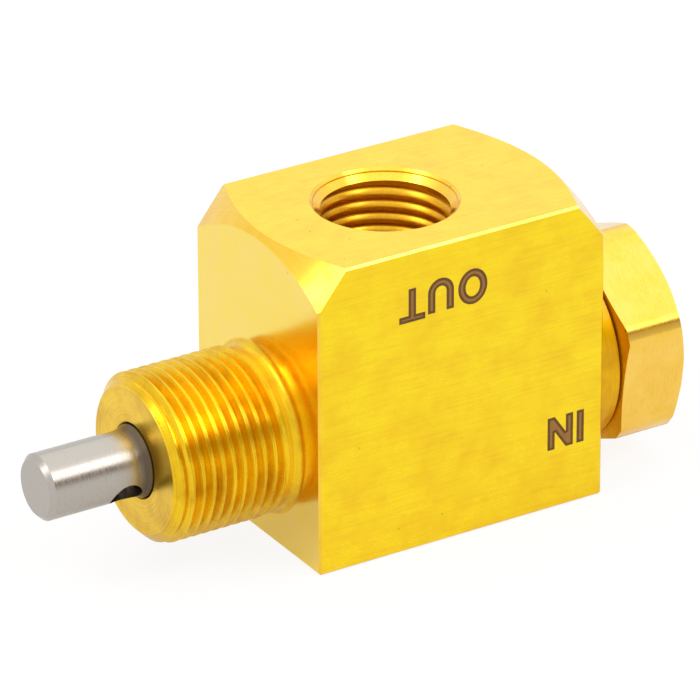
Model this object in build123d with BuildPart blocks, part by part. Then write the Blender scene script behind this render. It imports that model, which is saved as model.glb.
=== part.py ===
from build123d import *
import math
import os

# Three-way air valve: brass block with a threaded boss, a vented plunger, a seat and a sprung poppet.
# Millimetres. X is the valve axis from the plunger to the inlet, Z points out of the outlet port,
# and x = 0 is the block's near end face, where the boss leaves it.

# Block
block_length = 22.6
block_width = 15.8
block_bottom = -7.93
block_top = 14.35
block_edge = 0.15
end_cone_radius = 13.96
end_cone_slope = 0.92
end_cone_outside = 18.0

# Boss on the near end
boss_length = 9.63
boss_radius = 5.95
boss_start_radius = 5.17
boss_start_length = 0.74
relief_length = 1.35
relief_radius = 5.55
relief_slope_length = 0.2
root_radius = 0.61

# Mounting thread, 32 crests to the inch
thread_pitch = 25.4 / 32
thread_root_radius = 5.46
thread_flank_angle = 30.0
thread_crest_flat = thread_pitch / 8
thread_last_groove = -1.8
thread_grooves = 10
thread_clear = 0.3

# Bores on the valve axis
guide_radius = 2.6
guide_mouth = 0.1
chamber_start = -2.0
chamber_radius = 4.4
seat_bore_start = 12.4
seat_bore_radius = 5.4
cap_bore_start = 16.7
cap_bore_radius = 6.2

# Outlet port in the top face
outlet_x = 10.1
outlet_lip_radius = 5.11
outlet_throat_radius = 4.45
outlet_wall_radius = 4.33
outlet_wall_bottom = 7.15
outlet_passage_radius = 2.2
drill_half_angle = 59.0

# Plunger
tip_x = -17.2
tip_radius = 2.32
tip_edge = 0.35
flare_start_x = -10.55
flare_end_x = -9.7
flare_arc_radius = 1.7
plunger_guide_radius = 2.55
plunger_groove_start = -6.25
plunger_groove_end = -4.95
plunger_groove_radius = 1.84
clip_start = -1.98
clip_end = -1.38
clip_groove_radius = 2.0
tube_radius = 2.2
tube_end = 14.2
tube_edge = 0.25
plunger_bore_radius = 1.3
plunger_bore_end = -12.6
vent_x = -11.3
vent_radius = 1.17
vent_angle = 221.0

# Rings and washer on the plunger
clip_inner_radius = 2.02
clip_outer_radius = 3.9
clip_opening = 3.4
washer_thickness = 0.6
washer_inner_radius = 2.3
washer_outer_radius = 4.2
plunger_ring_radius = 0.37

# Return spring
return_wire = 0.6
return_mean_radius = 3.4
return_turns = 7.0

# Seat insert
seat_end = 15.1
seat_outer_radius = 5.38
seat_orifice_radius = 3.0
seat_lip_end = 14.9
seat_lip_radius = 3.45
seat_lip_crest = 0.12
seat_floor = 14.5
seat_rim_radius = 4.75
seat_groove_start = 13.1
seat_groove_end = 14.2
seat_groove_radius = 4.55
seat_ring_radius = 0.415

# Poppet and its facing
facing_front = 14.92
facing_radius = 3.7
poppet_front = 15.4
poppet_recess_end = 16.1
poppet_recess_radius = 3.72
poppet_back = 17.2
poppet_radius = 4.15
lobe_radius = 4.62
lobe_width = 1.8
lobe_count = 3
spigot_radius = 1.9
spigot_end = 18.1

# Poppet spring
poppet_wire = 0.45
poppet_mean_radius = 2.4
poppet_turns = 5.0

# Inlet cap
nose_start = 15.1
nose_end = 16.9
nose_radius = 5.38
shank_radius = 6.18
shank_edge = 0.35
undercut_start = 21.5
undercut_radius = 5.42
cap_ring_radius = 0.38
cap_bore_inner_radius = 4.7
web_start = 22.07
web_end = 22.87
web_hole_radius = 1.9
neck_radius = 6.9
hex_start = 24.67
hex_end = 29.77
hex_flats = 14.2
hex_corner_angle = 157.45
hex_land_radius = 7.9
hex_near_radius = 6.2
hex_near_angle = 13.0
hex_far_radius = 7.13
hex_far_angle = 28.5
inlet_lip_radius = 5.11
inlet_throat_radius = 4.45
inlet_wall_radius = 4.33

# Springs
closed_pitch = 1.1
points_per_turn = 12


def coil_points(start, end, mean_radius, wire, turns):
    """Points along a wire coiled about the valve axis, with one closed turn at each end."""
    first = start + wire / 2
    last = end - wire / 2
    closed = closed_pitch * wire
    open_pitch = (last - first - 2 * closed) / (turns - 2)
    points = []
    for step in range(int(turns * points_per_turn) + 1):
        turn = step / points_per_turn
        opened = min(max(turn - 1, 0), turns - 2)
        x = first + closed * (turn - opened) + open_pitch * opened
        angle = 2 * math.pi * turn
        points.append((x, mean_radius * math.cos(angle), mean_radius * math.sin(angle)))
    return points


os.makedirs("parts", exist_ok=True)

# Block, boss and outlet port in one piece
block_height = block_top - block_bottom
cone_depth = end_cone_slope * (end_cone_outside - end_cone_radius)
outlet_throat_z = block_top - (outlet_lip_radius - outlet_throat_radius)
drill_depth = (outlet_wall_radius - outlet_passage_radius) / math.tan(math.radians(drill_half_angle))
groove_half_top = (thread_pitch - thread_crest_flat) / 2
groove_half_root = groove_half_top - (boss_radius - thread_root_radius) * math.tan(
    math.radians(thread_flank_angle)
)

with BuildPart() as valve_body:
    with BuildSketch(Plane.YZ):
        with Locations((0, (block_top + block_bottom) / 2)):
            Rectangle(block_width, block_height)
    extrude(amount=block_length)
    chamfer(valve_body.edges(), block_edge)

    # Cones turned on both ends, which only reach the block's upper corners
    with BuildSketch(Plane.XZ):
        with BuildLine():
            Polyline(
                (0, end_cone_radius),
                (0, end_cone_outside),
                (cone_depth, end_cone_outside),
                close=True,
            )
        make_face()
    revolve(axis=Axis.X, mode=Mode.SUBTRACT)
    with BuildSketch(Plane.XZ):
        with BuildLine():
            Polyline(
                (block_length, end_cone_radius),
                (block_length, end_cone_outside),
                (block_length - cone_depth, end_cone_outside),
                close=True,
            )
        make_face()
    revolve(axis=Axis.X, mode=Mode.SUBTRACT)

    # Boss with its start chamfer, relief groove and root fillet
    with BuildSketch(Plane.XZ):
        with BuildLine():
            Polyline(
                (-relief_length + relief_slope_length, relief_radius),
                (-relief_length, boss_radius),
                (-boss_length + boss_start_length, boss_radius),
                (-boss_length, boss_start_radius),
                (-boss_length, 0),
                (block_edge, 0),
                (block_edge, relief_radius + root_radius),
                (0, relief_radius + root_radius),
            )
            Line((-relief_length + relief_slope_length, relief_radius), (-root_radius, relief_radius))
            CenterArc((-root_radius, relief_radius + root_radius), root_radius, -90, 90)
        make_face()
    revolve(axis=Axis.X)

    # Thread on the boss, cut as rings at its true pitch, depth and flank angle
    with BuildSketch(Plane.XZ):
        with Locations(*[(thread_last_groove - turn * thread_pitch, 0) for turn in range(thread_grooves)]):
            Polygon(
                (-groove_half_root, thread_root_radius),
                (groove_half_root, thread_root_radius),
                (groove_half_top, boss_radius),
                (groove_half_top, boss_radius + thread_clear),
                (-groove_half_top, boss_radius + thread_clear),
                (-groove_half_top, boss_radius),
                align=None,
            )
    revolve(axis=Axis.X, mode=Mode.SUBTRACT)

    # Stepped bore along the valve axis
    with BuildSketch(Plane.XZ):
        with BuildLine():
            Polyline(
                (-boss_length, 0),
                (-boss_length, guide_radius + guide_mouth),
                (-boss_length + guide_mouth, guide_radius),
                (chamber_start, guide_radius),
                (chamber_start, chamber_radius),
                (seat_bore_start, chamber_radius),
                (seat_bore_start, seat_bore_radius),
                (cap_bore_start, seat_bore_radius),
                (cap_bore_start, cap_bore_radius),
                (block_length, cap_bore_radius),
                (block_length, 0),
                close=True,
            )
        make_face()
    revolve(axis=Axis.X, mode=Mode.SUBTRACT)

    # Countersunk outlet port with its drill point and the passage into the chamber
    with BuildSketch(Plane.XZ):
        with BuildLine():
            Polyline(
                (outlet_x, block_top),
                (outlet_x + outlet_lip_radius, block_top),
                (outlet_x + outlet_throat_radius, outlet_throat_z),
                (outlet_x + outlet_wall_radius, outlet_throat_z - (outlet_throat_radius - outlet_wall_radius)),
                (outlet_x + outlet_wall_radius, outlet_wall_bottom),
                (outlet_x + outlet_passage_radius, outlet_wall_bottom - drill_depth),
                (outlet_x + outlet_passage_radius, 0),
                (outlet_x, 0),
                close=True,
            )
        make_face()
    revolve(axis=Axis((outlet_x, 0, 0), (0, 0, 1)), mode=Mode.SUBTRACT)

# Plunger: tip, flare, guide with its ring groove, clip groove, and a tube open at its inner end
plunger_drill_depth = plunger_bore_radius / math.tan(math.radians(drill_half_angle))

with BuildPart() as plunger:
    with BuildSketch(Plane.XZ):
        with BuildLine():
            RadiusArc(
                (flare_start_x, tip_radius),
                (flare_end_x, plunger_guide_radius),
                -flare_arc_radius,
            )
            Polyline(
                (flare_end_x, plunger_guide_radius),
                (plunger_groove_start, plunger_guide_radius),
                (plunger_groove_start, plunger_groove_radius),
                (plunger_groove_end, plunger_groove_radius),
                (plunger_groove_end, plunger_guide_radius),
                (clip_start, plunger_guide_radius),
                (clip_start, clip_groove_radius),
                (clip_end, clip_groove_radius),
                (clip_end, tube_radius),
                (tube_end - tube_edge, tube_radius),
                (tube_end, tube_radius - tube_edge),
                (tube_end, plunger_bore_radius),
                (plunger_bore_end, plunger_bore_radius),
                (plunger_bore_end - plunger_drill_depth, 0),
                (tip_x, 0),
                (tip_x, tip_radius - tip_edge),
                (tip_x + tip_edge, tip_radius),
                (flare_start_x, tip_radius),
            )
        make_face()
    revolve(axis=Axis.X)

    # Vent drilled across both walls near the tip
    vent_direction = (0, math.cos(math.radians(vent_angle)), math.sin(math.radians(vent_angle)))
    with BuildSketch(Plane(origin=(vent_x, 0, 0), x_dir=(1, 0, 0), z_dir=vent_direction)):
        Circle(vent_radius)
    extrude(amount=2 * tip_radius, both=True, mode=Mode.SUBTRACT)

# Rubber ring in the plunger's groove
plunger_ring_mean = plunger_groove_radius + plunger_ring_radius + (
    guide_radius - plunger_groove_radius - 2 * plunger_ring_radius
) / 2

with BuildPart() as plunger_o_ring:
    with BuildSketch(Plane.XZ):
        with Locations(((plunger_groove_start + plunger_groove_end) / 2, plunger_ring_mean)):
            Circle(plunger_ring_radius)
    revolve(axis=Axis.X)

# Open-sided ring that stops the plunger against the guide's inner end
with BuildPart() as retaining_ring:
    with BuildSketch(Plane.YZ.offset(clip_start)):
        Circle(clip_outer_radius)
        Circle(clip_inner_radius, mode=Mode.SUBTRACT)
        with Locations((0, -clip_outer_radius)):
            Rectangle(clip_opening, 2 * clip_outer_radius, mode=Mode.SUBTRACT)
    extrude(amount=clip_end - clip_start)

# Washer that carries the return spring
with BuildPart() as spring_washer:
    with BuildSketch(Plane.YZ.offset(clip_end)):
        Circle(washer_outer_radius)
        Circle(washer_inner_radius, mode=Mode.SUBTRACT)
    extrude(amount=washer_thickness)

# Return spring between the washer and the seat insert
with BuildPart() as return_spring:
    with BuildLine() as return_coil:
        Spline(*coil_points(
            clip_end + washer_thickness,
            seat_bore_start,
            return_mean_radius,
            return_wire,
            return_turns,
        ))
    with BuildSketch(Plane(origin=return_coil.line @ 0, z_dir=return_coil.line % 0)):
        Circle(return_wire / 2)
    sweep(path=return_coil.line, is_frenet=True)

# Seat insert with its raised lip, clamping rim and ring groove
with BuildPart() as seat_insert:
    with BuildSketch(Plane.XZ):
        with BuildLine():
            Polyline(
                (seat_bore_start, seat_orifice_radius),
                (seat_bore_start, seat_outer_radius),
                (seat_groove_start, seat_outer_radius),
                (seat_groove_start, seat_groove_radius),
                (seat_groove_end, seat_groove_radius),
                (seat_groove_end, seat_outer_radius),
                (seat_end, seat_outer_radius),
                (seat_end, seat_rim_radius),
                (seat_floor, seat_rim_radius),
                (seat_floor, seat_lip_radius),
                (seat_lip_end, seat_lip_radius - seat_lip_crest),
                (seat_lip_end, seat_orifice_radius + seat_lip_crest),
                (seat_lip_end - seat_lip_crest, seat_orifice_radius),
                close=True,
            )
        make_face()
    revolve(axis=Axis.X)

# Rubber ring round the seat insert
with BuildPart() as seat_o_ring:
    with BuildSketch(Plane.XZ):
        with Locations((
            (seat_groove_start + seat_groove_end) / 2,
            (seat_groove_radius + seat_bore_radius) / 2,
        )):
            Circle(seat_ring_radius)
    revolve(axis=Axis.X)

# Poppet with three guide lobes, a recess for its facing and a spigot for its spring
with BuildPart() as poppet:
    with BuildSketch(Plane.YZ.offset(poppet_front)):
        Circle(poppet_radius)
        with PolarLocations(lobe_radius / 2, lobe_count, start_angle=90):
            Rectangle(lobe_radius + lobe_width, lobe_width)
        Circle(lobe_radius, mode=Mode.INTERSECT)
    extrude(amount=poppet_back - poppet_front)
    with BuildSketch(Plane.YZ.offset(poppet_back)):
        Circle(spigot_radius)
    extrude(amount=spigot_end - poppet_back)
    with BuildSketch(Plane.YZ.offset(poppet_front)):
        Circle(poppet_recess_radius)
    extrude(amount=poppet_recess_end - poppet_front, mode=Mode.SUBTRACT)

# Rubber disc that closes on the seat lip and on the plunger's open end
with BuildPart() as poppet_facing:
    with BuildSketch(Plane.YZ.offset(facing_front)):
        Circle(facing_radius)
    extrude(amount=poppet_recess_end - facing_front)

# Spring that closes the poppet, standing on the cap's inner web
with BuildPart() as poppet_spring:
    with BuildLine() as poppet_coil:
        Spline(*coil_points(
            poppet_back,
            web_start,
            poppet_mean_radius,
            poppet_wire,
            poppet_turns,
        ))
    with BuildSketch(Plane(origin=poppet_coil.line @ 0, z_dir=poppet_coil.line % 0)):
        Circle(poppet_wire / 2)
    sweep(path=poppet_coil.line, is_frenet=True)

# Inlet cap: turned hexagon, neck, shank with its undercut, clamping nose and inlet port
hex_near_step = (hex_land_radius - hex_near_radius) * math.tan(math.radians(hex_near_angle))
hex_far_step = (hex_land_radius - hex_far_radius) * math.tan(math.radians(hex_far_angle))
inlet_throat_x = hex_end - (inlet_lip_radius - inlet_throat_radius)

with BuildPart() as inlet_cap:
    with BuildSketch(Plane.YZ.offset(hex_start)):
        RegularPolygon(hex_flats / 2, 6, major_radius=False, rotation=hex_corner_angle)
    extrude(amount=hex_end - hex_start)

    # Lands and chamfers turned on the hexagon
    with BuildSketch(Plane.XZ):
        with BuildLine():
            Polyline(
                (hex_start, 0),
                (hex_start, hex_near_radius),
                (hex_start + hex_near_step, hex_land_radius),
                (hex_end - hex_far_step, hex_land_radius),
                (hex_end, hex_far_radius),
                (hex_end, 0),
                close=True,
            )
        make_face()
    revolve(axis=Axis.X, mode=Mode.INTERSECT)

    # Nose, shank, undercut and neck
    with BuildSketch(Plane.XZ):
        with BuildLine():
            Polyline(
                (nose_start, 0),
                (nose_start, nose_radius),
                (nose_end, nose_radius),
                (nose_end + shank_edge, shank_radius - shank_edge),
                (nose_end + 2 * shank_edge, shank_radius),
                (undercut_start, shank_radius),
                (undercut_start, undercut_radius),
                (block_length, undercut_radius),
                (block_length, neck_radius),
                (hex_start, neck_radius),
                (hex_start, 0),
                close=True,
            )
        make_face()
    revolve(axis=Axis.X)

    # Poppet bore, web hole and countersunk inlet port
    with BuildSketch(Plane.XZ):
        with BuildLine():
            Polyline(
                (nose_start, 0),
                (nose_start, cap_bore_inner_radius),
                (web_start, cap_bore_inner_radius),
                (web_start, web_hole_radius),
                (web_end, web_hole_radius),
                (web_end, inlet_wall_radius),
                (inlet_throat_x - (inlet_throat_radius - inlet_wall_radius), inlet_wall_radius),
                (inlet_throat_x, inlet_throat_radius),
                (hex_end, inlet_lip_radius),
                (hex_end, 0),
                close=True,
            )
        make_face()
    revolve(axis=Axis.X, mode=Mode.SUBTRACT)

# Rubber ring that seals the cap against the block
with BuildPart() as cap_o_ring:
    with BuildSketch(Plane.XZ):
        with Locations((
            (undercut_start + block_length) / 2,
            (undercut_radius + cap_bore_radius) / 2,
        )):
            Circle(cap_ring_radius)
    revolve(axis=Axis.X)

valve_body.part.label = "valve_body"
export_step(valve_body.part, "parts/valve_body.step")

plunger.part.label = "plunger"
export_step(plunger.part, "parts/plunger.step")

plunger_o_ring.part.label = "plunger_o_ring"
export_step(plunger_o_ring.part, "parts/plunger_o_ring.step")

retaining_ring.part.label = "retaining_ring"
export_step(retaining_ring.part, "parts/retaining_ring.step")

spring_washer.part.label = "spring_washer"
export_step(spring_washer.part, "parts/spring_washer.step")

return_spring.part.label = "return_spring"
export_step(return_spring.part, "parts/return_spring.step")

seat_insert.part.label = "seat_insert"
export_step(seat_insert.part, "parts/seat_insert.step")

seat_o_ring.part.label = "seat_o_ring"
export_step(seat_o_ring.part, "parts/seat_o_ring.step")

poppet.part.label = "poppet"
export_step(poppet.part, "parts/poppet.step")

poppet_facing.part.label = "poppet_facing"
export_step(poppet_facing.part, "parts/poppet_facing.step")

poppet_spring.part.label = "poppet_spring"
export_step(poppet_spring.part, "parts/poppet_spring.step")

inlet_cap.part.label = "inlet_cap"
export_step(inlet_cap.part, "parts/inlet_cap.step")

cap_o_ring.part.label = "cap_o_ring"
export_step(cap_o_ring.part, "parts/cap_o_ring.step")
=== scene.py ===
"""Dresses a three-way air valve: threads, port words, machined brass, steel, rubber and a studio."""

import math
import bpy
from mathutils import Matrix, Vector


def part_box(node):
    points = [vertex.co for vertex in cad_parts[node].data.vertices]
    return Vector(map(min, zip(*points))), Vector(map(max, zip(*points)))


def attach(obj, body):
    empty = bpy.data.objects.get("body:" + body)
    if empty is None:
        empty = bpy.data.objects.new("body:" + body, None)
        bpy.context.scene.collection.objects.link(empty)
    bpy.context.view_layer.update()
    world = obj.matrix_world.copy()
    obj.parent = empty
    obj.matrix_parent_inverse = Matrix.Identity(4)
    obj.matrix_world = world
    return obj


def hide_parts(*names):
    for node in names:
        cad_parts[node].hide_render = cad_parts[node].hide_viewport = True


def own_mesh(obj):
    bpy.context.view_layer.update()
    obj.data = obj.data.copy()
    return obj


bl_info = {
    "name": "Three-way air valve",
    "version": (1, 0, 0),
    "blender": (4, 5, 0),
    "location": "3D View > Sidebar > Air valve",
    "description": "Cuts the threads, marks the ports and gives each piece of the valve its finish",
    "category": "Object",
}

import bmesh
import bpy
from bpy.props import FloatProperty, FloatVectorProperty, IntProperty, PointerProperty
from mathutils import Matrix, Vector

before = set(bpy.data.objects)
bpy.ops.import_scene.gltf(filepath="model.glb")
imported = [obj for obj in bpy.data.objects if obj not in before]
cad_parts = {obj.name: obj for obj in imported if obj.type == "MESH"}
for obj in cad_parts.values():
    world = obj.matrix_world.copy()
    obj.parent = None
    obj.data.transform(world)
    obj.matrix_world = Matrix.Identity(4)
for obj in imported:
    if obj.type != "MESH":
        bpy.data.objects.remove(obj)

# Places in the frame, in metres. X runs along the valve from the plunger to the inlet, Z points out of
# the outlet port, and the boss leaves the block at x = 0.

AXIS_X = Vector((1.0, 0.0, 0.0))
AXIS_Z = Vector((0.0, 0.0, 1.0))
BLOCK_LOW, BLOCK_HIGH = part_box("valve_body")
CAP_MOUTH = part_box("inlet_cap")[1].x
VALVE_CENTRE = Vector((0.0, 0.0, 0.0))
OUTLET_CENTRE = Vector((0.0101, 0.0, 0.0))
OUTLET_DEPTH = 0.0072
INLET_DEPTH = 0.0069
COUNTERSINK_RADIUS = 0.00511
COUNTERSINK_DEPTH = 0.00078
BOSS_END = -0.00963
BOSS_END_RADIUS = 0.00517
BOSS_CHAMFER_SLOPE = 0.78 / 0.74
BOSS_RELIEF = -0.00135


# Sizes and colours that a user would change


def linear(colour):
    """An sRGB hex colour such as "#C08A2A" as linear red, green, blue."""
    channels = [int(colour[i:i + 2], 16) / 255 for i in (1, 3, 5)]
    return tuple(c / 12.92 if c <= 0.04045 else ((c + 0.055) / 1.055) ** 2.4 for c in channels)


def size_property(name, default, description):
    """A length in metres, in the scene's length units."""
    return FloatProperty(name=name, description=description, default=default, unit="LENGTH", precision=6)


def colour_property(name, default, description):
    """A colour that is written as sRGB hex and kept as linear."""
    return FloatVectorProperty(
        name=name, description=description, subtype="COLOR", default=linear(default), min=0.0, max=1.0,
    )


class ThreadSizes(bpy.types.PropertyGroup):
    boss_pitch: size_property("Boss pitch", 0.00079375, "Crest to crest on the mounting boss, 32 to the inch")
    boss_radius: size_property("Boss crest radius", 0.00595, "Outside radius of the mounting thread")
    boss_root: size_property("Boss root radius", 0.00546, "Radius at the bottom of the mounting thread")
    boss_phase: FloatProperty(
        name="Boss start angle", description="Where the first thread starts, turned about the valve axis",
        default=0.0, unit="ROTATION",
    )
    port_pitch: size_property("Port pitch", 0.00094074, "Crest to crest in the ports, 27 to the inch")
    port_crest: size_property("Port crest radius", 0.00433, "Radius of the wall between the tapped grooves")
    port_root: size_property("Port root radius", 0.00478, "Radius at the bottom of the tapped grooves")
    steps: IntProperty(
        name="Steps in a turn", description="Faces along one turn of a thread", default=96, min=24, max=192,
    )


class MarkSizes(bpy.types.PropertyGroup):
    cap_height: size_property("Letter height", 0.00245, "Height of the port words")
    line: size_property("Burn width", 0.00020, "Width of the line that the laser burns")
    stroke: size_property("Stroke width", 0.00058, "Width of a letter's stroke over both its burnt lines")


class Finishes(bpy.types.PropertyGroup):
    brass: colour_property("Brass", "#FFDE0A", "Free-cutting brass as drawn")
    # Paler than the brass: painted highlight on the lit end faces and the front top edge
    faced: colour_property("Faced brass", "#FDDC60", "Brass that a face cutter left bright")
    turned: colour_property("Turned brass", "#FDD048", "Brass off the lathe")
    hexagon: colour_property("Hexagon brass", "#FDD05C", "Brass of the inlet cap's hexagon bar")
    # Also the base of the dull brass behind the hexagon, where it is painted shade
    brass_dark: colour_property("Brass in the lines", "#F2BC04", "Brass where a tool left it rougher")
    threaded: colour_property("Threaded brass", "#F8CC1C", "Brass on the mounting boss")
    # Darker and more orange: painted shade inside the ports
    tapped: colour_property("Tapped brass", "#E8AE22", "Brass inside the ports")
    # Painted shade, brown with a brass tint, on the plunger where it enters the boss
    tarnish: colour_property("Tarnished brass", "#C08A10", "Brass that wasn't cleaned after turning")
    steel: colour_property("Stainless steel", "#B6B0A8", "Ground stainless bar")
    grease: colour_property("Grease", "#54432C", "Brown grease on the plunger where it enters the boss")
    burn: colour_property("Laser mark", "#684408", "Oxide that the laser leaves")
    tint: colour_property("Heat tint", "#A4702E", "Brass between the burnt lines")
    rubber: colour_property("Rubber", "#1C1C1C", "Black nitrile rubber")


# Materials


def add_node(tree, kind, settings=None, values=None, links=None):
    """Adds one node with its settings, its unlinked input values and the sockets that feed it."""
    node = tree.nodes.new(kind)
    for name, value in (settings or {}).items():
        setattr(node, name, value)
    for name, value in (values or {}).items():
        node.inputs[name].default_value = value
    for name, source in (links or {}).items():
        tree.links.new(source, node.inputs[name])
    return node


def new_material(name):
    """An empty node material, its tree and its output node."""
    material = bpy.data.materials.new(name)
    material.use_nodes = True
    material.node_tree.nodes.clear()
    output = add_node(material.node_tree, "ShaderNodeOutputMaterial")
    return material, material.node_tree, output


def blend_colours(tree, share, first, second):
    """A colour that goes from the first to the second as the share goes from 0 to 1."""
    mixed = add_node(tree, "ShaderNodeMix", {"data_type": "RGBA"}, links={0: share})
    for socket, colour in ((6, first), (7, second)):
        if isinstance(colour, bpy.types.NodeSocket):
            tree.links.new(colour, mixed.inputs[socket])
        else:
            mixed.inputs[socket].default_value = (*colour, 1.0)
    return mixed.outputs[2]


def brass_surface(name, colour, dark, grain, rough, coat):
    """Brass with its tool marks as bump, cloudy stains, small dark pits and a thin film of oil."""
    material, tree, output = new_material(name)
    colour, dark = tuple(colour), tuple(dark)
    place = add_node(tree, "ShaderNodeTexCoord").outputs["Object"]
    marks = grain(tree, place)
    # Stains about 2 mm across
    clouds = add_node(
        tree, "ShaderNodeTexNoise", values={"Scale": 420.0, "Detail": 4.0, "Roughness": 0.6},
        links={"Vector": place},
    ).outputs["Fac"]
    stain = add_node(
        tree, "ShaderNodeMapRange", values={"From Min": 0.40, "From Max": 0.75, "To Max": 0.55},
        links={"Value": clouds},
    ).outputs[0]
    streak = add_node(
        tree, "ShaderNodeMapRange", values={"From Min": 0.45, "From Max": 0.80, "To Max": 0.45},
        links={"Value": marks},
    ).outputs[0]
    shade = add_node(
        tree, "ShaderNodeMath", {"operation": "ADD", "use_clamp": True}, links={0: stain, 1: streak},
    ).outputs[0]
    # Pits about 0.1 mm across, some 2 mm apart
    cells = add_node(
        tree, "ShaderNodeTexVoronoi", values={"Scale": 520.0}, links={"Vector": place},
    ).outputs["Distance"]
    pits = add_node(
        tree, "ShaderNodeMapRange",
        values={"From Min": 0.02, "From Max": 0.045, "To Min": 0.7, "To Max": 0.0},
        links={"Value": cells},
    ).outputs[0]
    tone = blend_colours(tree, shade, colour, dark)
    tone = blend_colours(tree, pits, tone, tuple(c * 0.35 for c in dark))
    gloss = add_node(
        tree, "ShaderNodeMapRange",
        values={"From Min": 0.3, "From Max": 0.7, "To Min": rough[0], "To Max": rough[1]},
        links={"Value": clouds},
    ).outputs[0]
    bump = add_node(
        tree, "ShaderNodeBump", values={"Strength": 0.3, "Distance": 0.00001}, links={"Height": marks},
    ).outputs[0]
    shader = add_node(
        tree, "ShaderNodeBsdfPrincipled",
        values={"Metallic": 1.0, "Coat Weight": coat, "Coat Roughness": 0.12, "Coat IOR": 1.4},
        links={"Base Color": tone, "Roughness": gloss, "Normal": bump},
    )
    tree.links.new(shader.outputs["BSDF"], output.inputs["Surface"])
    return material


def lines_along_bar(tree, place):
    """Draw-die and milling lines along the bar, 0.15 mm apart and a few millimetres long."""
    stretched = add_node(
        tree, "ShaderNodeMapping", values={"Scale": (300.0, 6500.0, 6500.0)}, links={"Vector": place},
    )
    return add_node(
        tree, "ShaderNodeTexNoise", values={"Scale": 1.0, "Detail": 3.0, "Roughness": 0.65},
        links={"Vector": stretched.outputs[0]},
    ).outputs["Fac"]


def rings_round_axis(tree, place):
    """Lathe lines round the valve's axis. The real feed is about 0.05 mm, drawn at 0.12 mm to show."""
    across = add_node(
        tree, "ShaderNodeMapping", values={"Scale": (0.0, 8000.0, 8000.0)}, links={"Vector": place},
    )
    radius = add_node(tree, "ShaderNodeVectorMath", {"operation": "LENGTH"}, links={0: across.outputs[0]})
    parts = add_node(tree, "ShaderNodeSeparateXYZ", links={0: place})
    along = add_node(tree, "ShaderNodeMath", {"operation": "MULTIPLY"}, {1: 8000.0}, {0: parts.outputs["X"]})
    drift = add_node(tree, "ShaderNodeMath", {"operation": "MULTIPLY"}, {1: 250.0}, {0: parts.outputs["Z"]})
    turned = add_node(
        tree, "ShaderNodeCombineXYZ",
        links={"X": along.outputs[0], "Y": radius.outputs["Value"], "Z": drift.outputs[0]},
    )
    return add_node(
        tree, "ShaderNodeTexNoise", values={"Scale": 1.0, "Detail": 3.0, "Roughness": 0.6},
        links={"Vector": turned.outputs[0]},
    ).outputs["Fac"]


def drawn_brass(colours):
    """Free-cutting brass bar as drawn and tumbled: satin, deep yellow, with faint lines along it."""
    return brass_surface(
        "drawn_brass", colours.brass, colours.brass_dark, lines_along_bar, rough=(0.24, 0.34), coat=0.7,
    )


def faced_brass_painted_highlight(colours):
    """Brass cut across the bar by a face cutter: smooth enough to mirror the boss, and paler than the rest, a
    colour that is painted highlight on the lit end faces.
    """
    return brass_surface(
        "faced_brass_painted_highlight", colours.faced, colours.brass, rings_round_axis, rough=(0.13, 0.20), coat=0.7,
    )


def turned_brass(colours):
    """Brass turned on a lathe: bright, with fine rings round the valve's axis."""
    return brass_surface(
        "turned_brass", colours.turned, colours.brass_dark, rings_round_axis, rough=(0.15, 0.24), coat=0.5,
    )


def drawn_hexagon_brass(colours):
    """Hexagon bar, drawn from a paler brass than the block and tumbled: satin, with soft reflections."""
    return brass_surface(
        "drawn_hexagon_brass", colours.hexagon, colours.brass_dark, rings_round_axis,
        rough=(0.20, 0.30), coat=0.6,
    )


def threaded_brass(colours):
    """Brass threaded by a die and handled since: duller than the rest."""
    return brass_surface(
        "threaded_brass", colours.threaded, colours.tarnish, rings_round_axis, rough=(0.24, 0.34), coat=0.3,
    )


def tapped_brass_painted_shade(colours):
    """Brass cut by a tap: darker and more orange than the rest, a colour that is painted shade inside the
    ports.
    """
    return brass_surface(
        "tapped_brass_painted_shade", colours.tapped, colours.tarnish, rings_round_axis, rough=(0.26, 0.36), coat=0.3,
    )


def dull_brass_painted_shade(colours):
    """Brass turned rough behind the hexagon: nearly matt, and brownish, a darker colour that is painted shade
    where the cap meets the block.
    """
    return brass_surface(
        "dull_brass_painted_shade", colours.brass_dark, colours.tarnish, rings_round_axis,
        rough=(0.42, 0.55), coat=0.3,
    )


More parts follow.
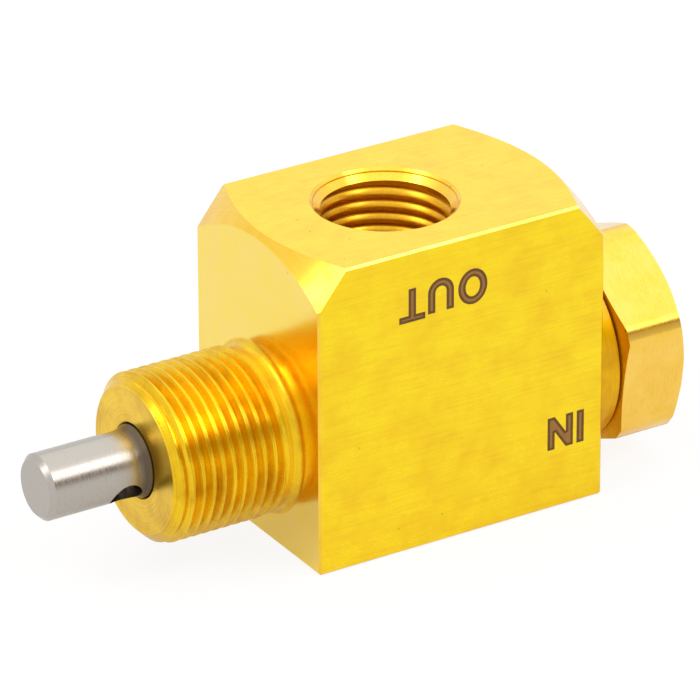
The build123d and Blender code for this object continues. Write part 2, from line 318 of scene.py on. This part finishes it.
def ground_stainless_steel(colours):
    """Stainless bar, centreless ground: grey, with fine rings round it and painted brown shade where it
    slides into the boss.
    """
    material, tree, output = new_material("ground_stainless_steel")
    place = add_node(tree, "ShaderNodeTexCoord").outputs["Object"]
    # Grinding rings round the bar, 0.1 mm apart so that they show
    round_bar = add_node(
        tree, "ShaderNodeMapping", values={"Scale": (9000.0, 300.0, 300.0)}, links={"Vector": place},
    )
    rings = add_node(
        tree, "ShaderNodeTexNoise", values={"Scale": 1.0, "Detail": 2.0, "Roughness": 0.5},
        links={"Vector": round_bar.outputs[0]},
    ).outputs["Fac"]
    rough = add_node(
        tree, "ShaderNodeMapRange",
        values={"From Min": 0.3, "From Max": 0.7, "To Min": 0.24, "To Max": 0.32}, links={"Value": rings},
    )
    bump = add_node(
        tree, "ShaderNodeBump", values={"Strength": 0.12, "Distance": 0.00001}, links={"Height": rings},
    )
    # Painted shade, brown with a brass tint, in a ring about 1 mm long outside the boss where the plunger
    # enters it, none further in
    along = add_node(tree, "ShaderNodeSeparateXYZ", links={0: place}).outputs["X"]
    near = add_node(
        tree, "ShaderNodeMapRange", {"interpolation_type": "SMOOTHSTEP"},
        {"From Min": -0.0111, "From Max": -0.0100, "To Max": 0.9}, {"Value": along},
    )
    outside = add_node(tree, "ShaderNodeMath", {"operation": "LESS_THAN"}, {1: -0.0090}, {0: along})
    grease = add_node(
        tree, "ShaderNodeMath", {"operation": "MULTIPLY"},
        links={0: near.outputs[0], 1: outside.outputs[0]},
    )
    tone = blend_colours(tree, grease.outputs[0], tuple(colours.steel), tuple(colours.grease))
    shader = add_node(
        tree, "ShaderNodeBsdfPrincipled", values={"Metallic": 1.0},
        links={"Base Color": tone, "Roughness": rough.outputs[0], "Normal": bump.outputs[0]},
    )
    tree.links.new(shader.outputs["BSDF"], output.inputs["Surface"])
    return material


def moulded_nitrile_rubber(colours):
    """Black nitrile rubber, moulded: dull with a faint bloom."""
    material, tree, output = new_material("moulded_nitrile_rubber")
    place = add_node(tree, "ShaderNodeTexCoord").outputs["Object"]
    bloom = add_node(
        tree, "ShaderNodeTexNoise", values={"Scale": 900.0, "Detail": 3.0, "Roughness": 0.6},
        links={"Vector": place},
    )
    rough = add_node(
        tree, "ShaderNodeMapRange",
        values={"From Min": 0.3, "From Max": 0.7, "To Min": 0.45, "To Max": 0.65},
        links={"Value": bloom.outputs["Fac"]},
    )
    shader = add_node(
        tree, "ShaderNodeBsdfPrincipled", values={"Base Color": (*colours.rubber, 1.0)},
        links={"Roughness": rough.outputs[0]},
    )
    tree.links.new(shader.outputs["BSDF"], output.inputs["Surface"])
    return material


def burnt_brass(name, colour):
    """Brass oxidised by a marking laser: brown, matt and slightly uneven."""
    material, tree, output = new_material(name)
    place = add_node(tree, "ShaderNodeTexCoord").outputs["Object"]
    # Grains of oxide about 0.1 mm across
    grains = add_node(
        tree, "ShaderNodeTexNoise", values={"Scale": 9000.0, "Detail": 2.0, "Roughness": 0.7},
        links={"Vector": place},
    )
    light = add_node(
        tree, "ShaderNodeMapRange", values={"From Min": 0.45, "From Max": 0.8, "To Min": 0.0, "To Max": 0.6},
        links={"Value": grains.outputs["Fac"]},
    )
    shade = blend_colours(tree, light.outputs[0], tuple(colour), tuple(min(1.0, 1.8 * c) for c in colour))
    shader = add_node(
        tree, "ShaderNodeBsdfPrincipled", values={"Roughness": 0.6}, links={"Base Color": shade},
    )
    tree.links.new(shader.outputs["BSDF"], output.inputs["Surface"])
    return material


def laser_burnt_line(colours):
    """The dark line that the laser follows round a letter."""
    return burnt_brass("laser_burnt_line", colours.burn)


def laser_heat_tint(colours):
    """The paler heat tint between a letter's two burnt lines."""
    return burnt_brass("laser_heat_tint", colours.tint)


def material_for(make):
    """The material that the function makes, made once. A material has its function's name."""
    return bpy.data.materials.get(make.__name__) or make(bpy.context.scene.valve_finishes)


def dress(obj, make):
    """Gives an object that one material."""
    obj.data.materials.clear()
    obj.data.materials.append(material_for(make))


# Meshes


def shade_mesh(mesh):
    """Shades the mesh smooth, with every edge sharper than 28 degrees kept crisp."""
    if "custom_normal" in mesh.attributes:
        mesh.attributes.remove(mesh.attributes["custom_normal"])
    mesh.polygons.foreach_set("use_smooth", [True] * len(mesh.polygons))
    mesh.set_sharp_from_angle(angle=math.radians(28))
    mesh.update()


def add_piece(name, bm, makes, body="body"):
    """Turns a bmesh into a piece that rides on a body, with a material slot for each material."""
    mesh = bpy.data.meshes.new(name)
    bm.to_mesh(mesh)
    bm.free()
    for make in makes:
        mesh.materials.append(material_for(make))
    shade_mesh(mesh)
    obj = bpy.data.objects.new(name, mesh)
    bpy.context.scene.collection.objects.link(obj)
    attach(obj, body)
    return obj


def merged_copy(node):
    """A bmesh of a CAD node with its loose triangles joined."""
    bm = bmesh.new()
    bm.from_mesh(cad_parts[node].data)
    bmesh.ops.remove_doubles(bm, verts=bm.verts, dist=2e-7)
    return bm


def ring_of(bm, centre, axis, along, radius):
    """The vertices on a circle about an axis, at that distance along it and that radius."""
    reach = 2e-5
    found = []
    for vert in bm.verts:
        offset = vert.co - centre
        distance = offset.dot(axis)
        if abs(distance - along) < reach and abs((offset - axis * distance).length - radius) < reach:
            found.append(vert)
    if not found:
        raise RuntimeError(f"no ring at {along:.5f} of radius {radius:.5f}")
    return found


def move_ring(verts, centre, axis, along, radius):
    """Moves a circle of vertices to another distance along its axis and another radius."""
    for vert in verts:
        offset = vert.co - centre
        outward = offset - axis * offset.dot(axis)
        vert.co = centre + axis * along + outward.normalized() * radius


def cut_ring(bm, centre, axis, along, radius):
    """Cuts a port's wall straight across its axis and gives the new circle of vertices."""
    margin = 0.001
    wall = []
    for face in bm.faces:
        offsets = [vert.co - centre for vert in face.verts]
        stations = [offset.dot(axis) for offset in offsets]
        spread = max((offset - axis * station).length for offset, station in zip(offsets, stations))
        if min(stations) < along < max(stations) and spread < radius + margin:
            wall.append(face)
    parts = {part for face in wall for part in (*face.verts, *face.edges)}
    bmesh.ops.bisect_plane(bm, geom=[*parts, *wall], plane_co=centre + axis * along, plane_no=axis)
    return ring_of(bm, centre, axis, along, radius)


def open_port(bm, centre, axis, mouth, depth, sizes):
    """Widens a port's wall to the thread's root below its countersink, and scores the countersink."""
    foot = mouth - COUNTERSINK_DEPTH
    lifted, lip, below = 0.00009, 0.00006, 0.00007
    score_depths, score_bottom, score_radius = (0.00018, 0.00022, 0.00026), 0.00024, 0.00495
    end = ring_of(bm, centre, axis, foot, sizes.port_crest)
    wall = cut_ring(bm, centre, axis, foot - below, sizes.port_crest)
    floor = ring_of(bm, centre, axis, mouth - depth, sizes.port_crest)
    score = [cut_ring(bm, centre, axis, mouth - down, COUNTERSINK_RADIUS - down) for down in score_depths]
    # The countersink keeps its slope but ends a little higher, in a thin lip over the thread's root
    move_ring(end, centre, axis, foot + lifted, sizes.port_crest + lifted)
    move_ring(wall, centre, axis, foot + lifted - lip, sizes.port_root)
    move_ring(floor, centre, axis, mouth - depth, sizes.port_root)
    # The scored line's two edges stay in the countersink, and its middle is pushed outward
    move_ring(score[1], centre, axis, mouth - score_bottom, score_radius)


def helix_ridge(bm, centre, axis, side, section, pitch, turns, steps):
    """Spins a thread's section, a list of along and radius, into a closed helical ridge."""
    verts = [bm.verts.new(centre + axis * along + side * radius) for along, radius in section]
    face = bm.faces.new(verts)
    bmesh.ops.spin(
        bm, geom=[*verts, *face.edges, face], cent=centre, axis=axis, dvec=axis * (pitch / steps),
        angle=math.tau * turns, steps=int(steps * turns), use_merge=False, use_normal_flip=False,
        use_duplicate=False,
    )


# Threads


def cut_section(start, crest, foot, crest_flat):
    """A die-cut thread's section, with 60 degrees between its flanks and a flat crest."""
    rows = 4
    half = crest_flat / 2 + (crest - foot) * math.tan(math.radians(30))
    points = []
    for row in range(rows + 1):
        share = row / rows
        points.append((start - half + (half - crest_flat / 2) * share, foot + (crest - foot) * share))
    for along, radius in reversed(points):
        points.append((2 * start - along, radius))
    return points


def tapped_section(start, pitch, crest, foot):
    """A tapped thread's section: steep below, flat over the crest, and burnished round on its upper side."""
    # Along in pitches towards the mouth, and depth as a share of the thread's
    shape = (
        (-0.50, 1.1), (-0.46, 1.0), (-0.20, 0.0), (-0.10, 0.0), (0.00, 0.09), (0.10, 0.21), (0.20, 0.36),
        (0.29, 0.54), (0.37, 0.76), (0.43, 1.0), (0.50, 1.1),
    )
    return [(start + pitch * along, crest + (foot - crest) * share) for along, share in shape]


def mounting_thread(sizes):
    """The boss's thread, which follows the chamfer at its start and runs out at the relief."""
    thread = bmesh.new()
    # The first crest and the number of turns put the crests where the photograph shows them
    first_crest, turns = -0.01012, 11.25
    overlap, set_back, run_out_slope, buried = 0.00006, 0.00003, 2.0, 0.0045
    section = cut_section(first_crest, sizes.boss_radius, sizes.boss_root - overlap, sizes.boss_pitch / 8)
    side = Matrix.Rotation(sizes.boss_phase, 3, AXIS_X) @ Vector((0, -1, 0))
    helix_ridge(thread, VALVE_CENTRE, AXIS_X, side, section, sizes.boss_pitch, turns, sizes.steps)
    for vert in thread.verts:
        radius = math.hypot(vert.co.y, vert.co.z)
        chamfer = BOSS_END_RADIUS + (vert.co.x - BOSS_END) * BOSS_CHAMFER_SLOPE
        run_out = sizes.boss_radius - (vert.co.x - BOSS_RELIEF) * run_out_slope
        limit = max(min(chamfer, run_out), buried)
        if radius > limit:
            vert.co.yz = vert.co.yz * (limit / radius)
        vert.co.x = max(vert.co.x, BOSS_END + set_back)
    bmesh.ops.recalc_face_normals(thread, faces=thread.faces)
    return thread


def tapped_thread(centre, axis, side, mouth, turns, sizes):
    """The ridge that a tap leaves in a port. It grows over a fifth of a turn, under the countersink."""
    thread = bmesh.new()
    first_crest, overlap, clearance = mouth - 0.00112, 0.00002, 0.00001
    foot = sizes.port_root + overlap
    section = tapped_section(first_crest, sizes.port_pitch, sizes.port_crest, foot)
    section = [(-along, radius) for along, radius in section]
    helix_ridge(thread, centre, -axis, side, section, sizes.port_pitch, turns, sizes.steps)
    run_in = sizes.steps // 5
    for index, vert in enumerate(thread.verts):
        offset = vert.co - centre
        along = offset.dot(axis)
        outward = offset - axis * along
        grown = min(1.0, (index // len(section) + 1) / run_in)
        radius = foot + (outward.length - foot) * grown
        cone = COUNTERSINK_RADIUS + along - mouth
        # Where it would stand out of the countersink it lies just behind it, with a tenth of its form
        behind_cone = cone + clearance + 0.1 * (radius - sizes.port_crest)
        vert.co = centre + axis * along + outward.normalized() * max(radius, behind_cone)
    bmesh.ops.recalc_face_normals(thread, faces=thread.faces)
    return thread


# Body


def finish_by_cut(mesh):
    """Gives each face the slot of the cut that left it: turned, drawn, face-cut, tapped or threaded. The
    face-cut brass is paler, painted highlight, and the tapped brass darker, painted shade.
    """
    turned, drawn, faced, tapped, threaded = range(5)
    nearly, flat, sideways = 1e-5, 0.999, 1e-3
    edge_low, edge_front = 0.01415, -0.007
    port_radius, thread_low, thread_high = 0.00493, 0.003, 0.01366
    score_low, score_high = 0.01409, 0.01417
    for face in mesh.polygons:
        x, y, z = face.center
        along, across = abs(face.normal.x), max(abs(face.normal.y), abs(face.normal.z))
        outside = abs(y) > BLOCK_HIGH.y - nearly or z > BLOCK_HIGH.z - nearly or z < BLOCK_LOW.z + nearly
        # The bevel along the front top edge takes the paler face-cut brass as painted highlight
        edge_break_highlight = along < sideways and z > edge_low and y < edge_front
        near_port = math.hypot(x - OUTLET_CENTRE.x, y) < port_radius
        under_countersink = thread_low < z < thread_high
        # The scored groove in the countersink takes the darker tapped brass as painted shade
        scored = score_low < z < score_high
        if across > flat and outside:
            face.material_index = drawn
        elif (along > flat and x > -nearly) or edge_break_highlight:
            face.material_index = faced
        elif near_port and (under_countersink or scored):
            face.material_index = tapped
        elif x < -nearly:
            face.material_index = threaded
        else:
            face.material_index = turned


class VALVE_OT_body(bpy.types.Operator):
    """Cuts the mounting thread and the outlet thread into the block"""

    bl_idname = "valve.body"
    bl_label = "Valve body"

    def execute(self, context):
        sizes = context.scene.valve_threads
        bm = merged_copy("valve_body")
        # The CAD's rings on the boss go down to the root, and a helix takes their place
        root_start = BOSS_END + (sizes.boss_root - BOSS_END_RADIUS) / BOSS_CHAMFER_SLOPE
        rings_end, chamfer_end = -0.0013, -0.00902
        for vert in bm.verts:
            radius = math.hypot(vert.co.y, vert.co.z)
            if vert.co.x < rings_end and radius > sizes.boss_root:
                vert.co.yz = vert.co.yz * (sizes.boss_root / radius)
                if vert.co.x < chamfer_end:
                    vert.co.x = root_start
        open_port(bm, OUTLET_CENTRE, AXIS_Z, BLOCK_HIGH.z, OUTLET_DEPTH, sizes)
        cuts = (turned_brass, drawn_brass, faced_brass_painted_highlight, tapped_brass_painted_shade, threaded_brass)
        body = add_piece("valve_body_cut", bm, cuts)
        finish_by_cut(body.data)
        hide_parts("valve_body")
        add_piece("mounting_thread", mounting_thread(sizes), (threaded_brass,))
        # The outlet's thread starts on the camera's side, where the rim hides its run-in
        toward_camera, turns = Vector((-0.524, -0.852, 0.0)), 6.25
        thread = tapped_thread(OUTLET_CENTRE, AXIS_Z, toward_camera, BLOCK_HIGH.z, turns, sizes)
        add_piece("outlet_thread", thread, (tapped_brass_painted_shade,))
        return {"FINISHED"}


class VALVE_OT_cap(bpy.types.Operator):
    """Cuts the inlet thread into the hexagon cap"""

    bl_idname = "valve.cap"
    bl_label = "Inlet cap"

    def execute(self, context):
        sizes = context.scene.valve_threads
        bm = merged_copy("inlet_cap")
        open_port(bm, VALVE_CENTRE, AXIS_X, CAP_MOUTH, INLET_DEPTH, sizes)
        cap = add_piece("inlet_cap_cut", bm, (drawn_hexagon_brass, dull_brass_painted_shade))
        # The neck and the hexagon's back, which face the block, take the dull brass with its painted shade,
        # and the port's wall doesn't
        neck_start, neck_end, back_end, port_wall = 0.0225, 0.0248, 0.02515, 0.0052
        for face in cap.data.polygons:
            x = face.center.x
            in_reach = neck_start < x < back_end and face.normal.x < 0.1
            if in_reach and face.center.yz.length > port_wall:
                face.material_index = int(x < neck_end or face.normal.x < -0.5)
        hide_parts("inlet_cap")
        turns = 5.9
        thread = tapped_thread(VALVE_CENTRE, AXIS_X, AXIS_Z, CAP_MOUTH, turns, sizes)
        add_piece("inlet_thread", thread, (tapped_brass_painted_shade,))
        return {"FINISHED"}


# Port words


def arc(middle, across, up, start, end, count):
    """Points along part of an ellipse, both ends included."""
    turns = [start + (end - start) * i / count for i in range(count + 1)]
    return [(middle[0] + across * math.cos(turn), middle[1] + up * math.sin(turn)) for turn in turns]


def letter_o(width, tall, wide):
    """The outline and the opening of an O, a little taller than the straight letters."""
    middle, over = (width / 2, tall / 2), 0.00008
    rim = arc(middle, width / 2, tall / 2 + over, 0, math.tau, 40)[:-1]
    opening = arc(middle, width / 2 - wide, tall / 2 - wide + over, 0, math.tau, 40)[:-1]
    return rim, opening


def letter_u(width, tall, wide):
    """The outline of a U."""
    bowl = width / 2
    outside = arc((bowl, bowl), bowl, bowl, math.pi, math.tau, 18)
    inside = arc((bowl, bowl), bowl - wide, bowl - wide, math.tau, math.pi, 18)
    return [(0, tall), *outside, (width, tall), (width - wide, tall), *inside, (wide, tall)]


def letter_t(width, tall, wide):
    """The outline of a T."""
    left, right, bar = (width - wide) / 2, (width + wide) / 2, tall - wide * 0.85
    return [
        (0, bar), (left, bar), (left, 0), (right, 0), (right, bar), (width, bar), (width, tall), (0, tall),
    ]


def letter_i(width, tall, wide):
    """The outline of an I."""
    return [(0, 0), (wide, 0), (wide, tall), (0, tall)]


def letter_n(width, tall, wide):
    """The outline of an N, with its two notches blunt."""
    slant, blunt = wide * 1.95, wide * 0.12
    right = width - wide
    lean = Vector((right - wide, slant - tall)).normalized() * blunt
    return [
        (0, 0), (wide, 0), (wide, tall - slant - blunt), (wide + lean.x, tall - slant + lean.y),
        (right, 0), (width, 0), (width, tall), (right, tall),
        (right, slant + blunt), (right - lean.x, slant - lean.y), (wide, tall), (0, tall),
    ]


class VALVE_OT_marks(bpy.types.Operator):
    """Burns the port words OUT and IN into the front face"""

    bl_idname = "valve.marks"
    bl_label = "Port words"

    def execute(self, context):
        sizes = context.scene.valve_marks
        tall, wide = sizes.cap_height, sizes.stroke
        raised, sunk = 0.000004, 0.000016
        words = bmesh.new()

        def placed(corner, points):
            # The words stand upside down, so a letter's right is -X and its top is -Z
            return [
                words.verts.new((corner[0] - across, BLOCK_LOW.y - raised, corner[1] - up))
                for across, up in points
            ]

        # Each letter's corner is its lower left as it is read, as X and Z
        corner_o, width_o = (0.01320, 0.01180), 0.00230
        rim, opening = letter_o(width_o, tall, wide)
        outer, inner = placed(corner_o, rim), placed(corner_o, opening)
        for i in range(len(outer)):
            words.faces.new((outer[i - 1], outer[i], inner[i], inner[i - 1]))
        for letter, corner, width in (
            (letter_u, (0.01056, 0.01184), 0.00204),
            (letter_t, (0.00831, 0.01164), 0.00204),
            (letter_i, (0.02108, -0.00100), wide),
            (letter_n, (0.02020, -0.00100), 0.00206),
        ):
            words.faces.new(placed(corner, letter(width, tall, wide)))
        bmesh.ops.recalc_face_normals(words, faces=words.faces)
        for face in words.faces:
            if face.normal.y > 0:
                face.normal_flip()

        line, tint = range(2)
        strokes = list(words.faces)
        bmesh.ops.inset_region(
            words, faces=strokes, thickness=sizes.line, use_even_offset=True, use_boundary=True,
        )
        for face in words.faces:
            face.material_index = line
        for face in strokes:
            if face.is_valid:
                face.material_index = tint
        grown = bmesh.ops.extrude_face_region(words, geom=list(words.faces), use_keep_orig=True)
        floor = [item for item in grown["geom"] if isinstance(item, bmesh.types.BMVert)]
        bmesh.ops.translate(words, verts=floor, vec=(0, raised + sunk, 0))
        bmesh.ops.recalc_face_normals(words, faces=words.faces)
        add_piece("port_words", words, (laser_burnt_line, laser_heat_tint))
        return {"FINISHED"}


# Plunger, springs, rings and seat


def compressed_spring(node):
    """Replaces a spring by a copy of its mesh in ground stainless steel."""
    wire = add_piece(node + "_wire", merged_copy(node), (ground_stainless_steel,))
    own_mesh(wire)
    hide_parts(node)


class VALVE_OT_inner(bpy.types.Operator):
    """Gives the plunger and the pieces inside the valve their finishes"""

    bl_idname = "valve.inner"
    bl_label = "Plunger and inner pieces"

    def execute(self, context):
        for make, nodes in (
            (ground_stainless_steel, ("plunger", "retaining_ring", "spring_washer")),
            (moulded_nitrile_rubber, ("plunger_o_ring", "seat_o_ring", "cap_o_ring", "poppet_facing")),
            (turned_brass, ("seat_insert", "poppet")),
        ):
            for node in nodes:
                dress(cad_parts[node], make)
        compressed_spring("return_spring")
        compressed_spring("poppet_spring")
        return {"FINISHED"}


# Studio


def light_room(scene):
    """A white room, white behind the object, with a dim warm side that bright metal shows as a soft band."""
    dim_side, dim_colour = (0.45, -0.70, 0.55), "#86705F"
    world = bpy.data.worlds.new("studio")
    scene.world = world
    world.use_nodes = True
    tree = world.node_tree
    tree.nodes.clear()
    output = add_node(tree, "ShaderNodeOutputWorld")
    path = add_node(tree, "ShaderNodeLightPath")
    place = add_node(tree, "ShaderNodeTexCoord")
    toward = add_node(
        tree, "ShaderNodeVectorMath", {"operation": "DOT_PRODUCT"}, {1: dim_side},
        {0: place.outputs["Generated"]},
    )
    dim = add_node(
        tree, "ShaderNodeMapRange", {"interpolation_type": "SMOOTHSTEP"},
        {"From Min": 0.86, "From Max": 0.98}, {"Value": toward.outputs["Value"]},
    )
    mirrored = add_node(
        tree, "ShaderNodeMath", {"operation": "MAXIMUM"},
        links={0: path.outputs["Is Glossy Ray"], 1: path.outputs["Is Transmission Ray"]},
    )
    seen = add_node(
        tree, "ShaderNodeMath", {"operation": "MAXIMUM"},
        links={0: path.outputs["Is Camera Ray"], 1: mirrored.outputs[0]},
    )
    share = add_node(
        tree, "ShaderNodeMath", {"operation": "MULTIPLY"}, links={0: mirrored.outputs[0], 1: dim.outputs[0]},
    )
    room = blend_colours(tree, share.outputs[0], (1.0, 1.0, 1.0), linear(dim_colour))
    fill = add_node(tree, "ShaderNodeBackground", values={"Color": (1, 1, 1, 1), "Strength": 0.5})
    white = add_node(tree, "ShaderNodeBackground", values={"Strength": 1.0}, links={"Color": room})
    mixed = add_node(
        tree, "ShaderNodeMixShader", links={0: seen.outputs[0], 1: fill.outputs[0], 2: white.outputs[0]},
    )
    tree.links.new(mixed.outputs[0], output.inputs["Surface"])


def pale_floor():
    """Pale studio paper: it looks nearly white but keeps the object's shadow, and metal mirrors it bright."""
    material, tree, output = new_material("pale_floor")
    path = add_node(tree, "ShaderNodeLightPath")
    seen = add_node(
        tree, "ShaderNodeMath", {"operation": "MAXIMUM"},
        links={0: path.outputs["Is Camera Ray"], 1: path.outputs["Is Glossy Ray"]},
    )
    pale = blend_colours(tree, seen.outputs[0], (0.75, 0.75, 0.75), (0.95, 0.95, 0.95))
    matt = add_node(tree, "ShaderNodeBsdfDiffuse", links={"Color": pale})
    white = add_node(tree, "ShaderNodeEmission", values={"Color": (1, 1, 1, 1), "Strength": 1.04})
    in_mirror = add_node(
        tree, "ShaderNodeMath", {"operation": "MULTIPLY"}, {1: 0.42}, {0: path.outputs["Is Glossy Ray"]},
    )
    share = add_node(
        tree, "ShaderNodeMath", {"operation": "MULTIPLY_ADD"}, {1: 0.85},
        {0: path.outputs["Is Camera Ray"], 2: in_mirror.outputs[0]},
    )
    paper = add_node(
        tree, "ShaderNodeMixShader", links={0: share.outputs[0], 1: matt.outputs[0], 2: white.outputs[0]},
    )
    tree.links.new(paper.outputs[0], output.inputs["Surface"])
    return material


def lay_floor(scene):
    """A plain floor under the block, a hair lower so that the two faces don't fight."""
    half_width, gap = 0.6, 0.00002
    bm = bmesh.new()
    bmesh.ops.create_grid(
        bm, x_segments=1, y_segments=1, size=half_width,
        matrix=Matrix.Translation((0.01, 0.0, BLOCK_LOW.z - gap)),
    )
    mesh = bpy.data.meshes.new("floor")
    bm.to_mesh(mesh)
    bm.free()
    mesh.materials.append(pale_floor())
    floor = bpy.data.objects.new("floor", mesh)
    scene.collection.objects.link(floor)


def hang_lamps(scene):
    """A wide soft lamp overhead and a smaller one on each side, all aimed at the block."""
    aim = Vector((0.01, 0.0, 0.0))
    for name, place, size, power in (
        ("overhead_softbox", (0.05, 0.05, 0.50), 1.2, 1.8),
        ("right_softbox", (0.19, -0.30, 0.36), 0.22, 0.45),
        ("left_softbox", (-0.34, 0.03, 0.36), 0.22, 0.45),
    ):
        light = bpy.data.lights.new(name, "AREA")
        light.shape = "SQUARE"
        light.size = size
        light.energy = power
        lamp = bpy.data.objects.new(name, light)
        lamp.location = place
        lamp.rotation_euler = (aim - Vector(place)).to_track_quat("-Z", "Y").to_euler()
        scene.collection.objects.link(lamp)


def place_camera(scene):
    """The camera as fitted to the photograph: where it stands, and its right, down and forward."""
    stand = (-0.207477, -0.349158, 0.207413)
    right = Vector((0.85089754, -0.52532112, -0.0033301))
    down = Vector((-0.23626255, -0.37701301, -0.89556753))
    forward = Vector((0.46920505, 0.76282299, -0.44491315))
    lens = bpy.data.cameras.new("photo_camera")
    lens.sensor_width = 36.0
    lens.lens = 348.25
    lens.clip_start = 0.02
    lens.clip_end = 5.0
    camera = bpy.data.objects.new("photo_camera", lens)
    turned = Matrix((right, -down, -forward)).transposed().to_4x4()
    camera.matrix_world = Matrix.Translation(stand) @ turned
    scene.collection.objects.link(camera)
    scene.camera = camera


class VALVE_OT_stage(bpy.types.Operator):
    """Sets up the pale floor, the soft lamps, the white background and the camera"""

    bl_idname = "valve.stage"
    bl_label = "Studio"

    def execute(self, context):
        context.scene.view_settings.view_transform = "Standard"
        light_room(context.scene)
        lay_floor(context.scene)
        hang_lamps(context.scene)
        place_camera(context.scene)
        return {"FINISHED"}


# Sidebar


STEPS = (VALVE_OT_stage, VALVE_OT_body, VALVE_OT_cap, VALVE_OT_marks, VALVE_OT_inner)


class VALVE_PT_panel(bpy.types.Panel):
    """Lists the steps that dress the valve, in their order"""

    bl_idname = "VALVE_PT_panel"
    bl_label = "Three-way air valve"
    bl_space_type = "VIEW_3D"
    bl_region_type = "UI"
    bl_category = "Air valve"

    def draw(self, context):
        for step in STEPS:
            self.layout.operator(step.bl_idname)


CLASSES = (ThreadSizes, MarkSizes, Finishes, *STEPS, VALVE_PT_panel)


def register():
    for cls in CLASSES:
        bpy.utils.register_class(cls)
    bpy.types.Scene.valve_threads = PointerProperty(type=ThreadSizes)
    bpy.types.Scene.valve_marks = PointerProperty(type=MarkSizes)
    bpy.types.Scene.valve_finishes = PointerProperty(type=Finishes)


def unregister():
    del bpy.types.Scene.valve_finishes
    del bpy.types.Scene.valve_marks
    del bpy.types.Scene.valve_threads
    for cls in reversed(CLASSES):
        bpy.utils.unregister_class(cls)


def main():
    register()
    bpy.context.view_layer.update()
    bpy.ops.valve.stage()
    bpy.ops.valve.body()
    bpy.ops.valve.cap()
    bpy.ops.valve.marks()
    bpy.ops.valve.inner()


if __name__ == "__main__":
    main()
